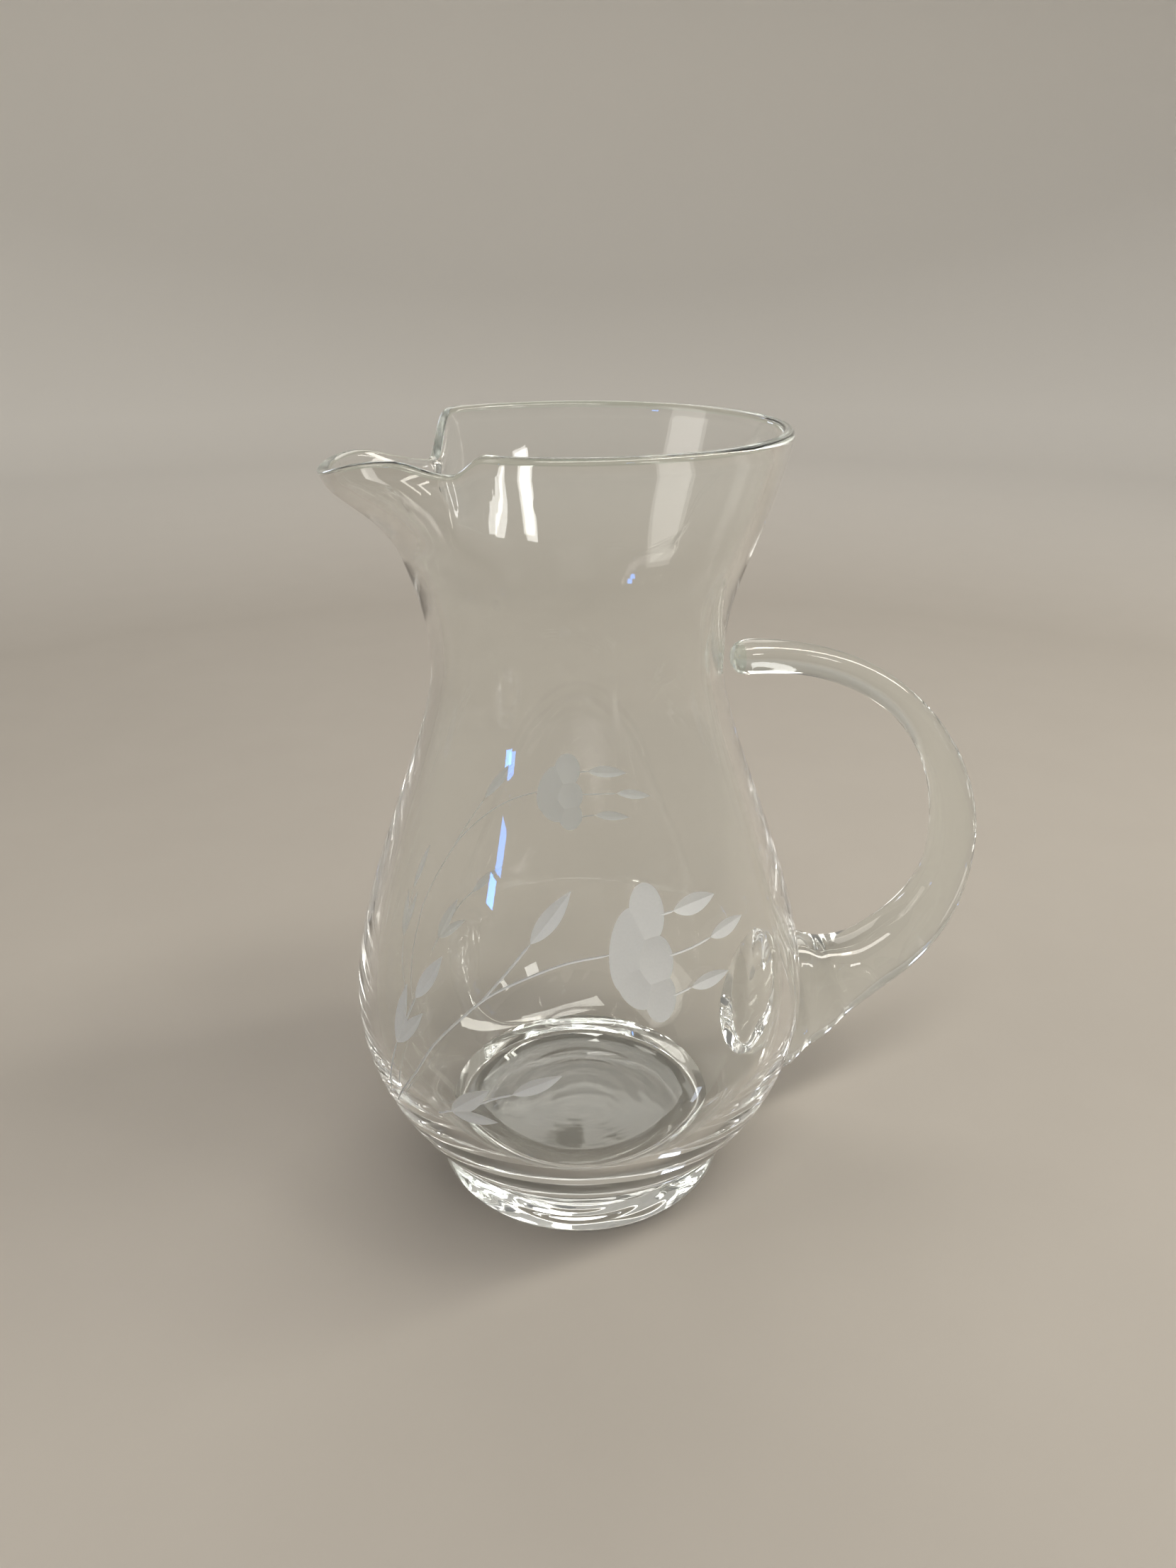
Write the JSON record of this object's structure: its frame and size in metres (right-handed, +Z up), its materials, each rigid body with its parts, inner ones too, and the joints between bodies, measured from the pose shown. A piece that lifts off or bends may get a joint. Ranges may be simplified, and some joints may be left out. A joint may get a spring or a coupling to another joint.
{
  "type": "glass pitcher",
  "caption": "Clear glass pitcher with a pear-shaped bowl, pinched pouring lip, thick round foot, engraved flower sprays and a tapering loop handle with a free upper end.",
  "frame": {"origin": "centre of the flat underside of the foot, on the axis of the bowl", "axes": "+Z up along the axis of the bowl, +X towards the handle, so the pouring lip points to -X"},
  "size_m": [0.1795, 0.1228, 0.2049],
  "materials": {
    "vessel_glass": "clear fire-polished soda-lime glass with matt wheel-cut flowers",
    "foot_glass": "clear thick glass",
    "handle_glass": "clear solid drawn glass"
  },
  "bodies": {
    "root": {"vessel": "vessel_glass", "foot": "foot_glass", "handle": "handle_glass"}
  },
  "joints": []
}
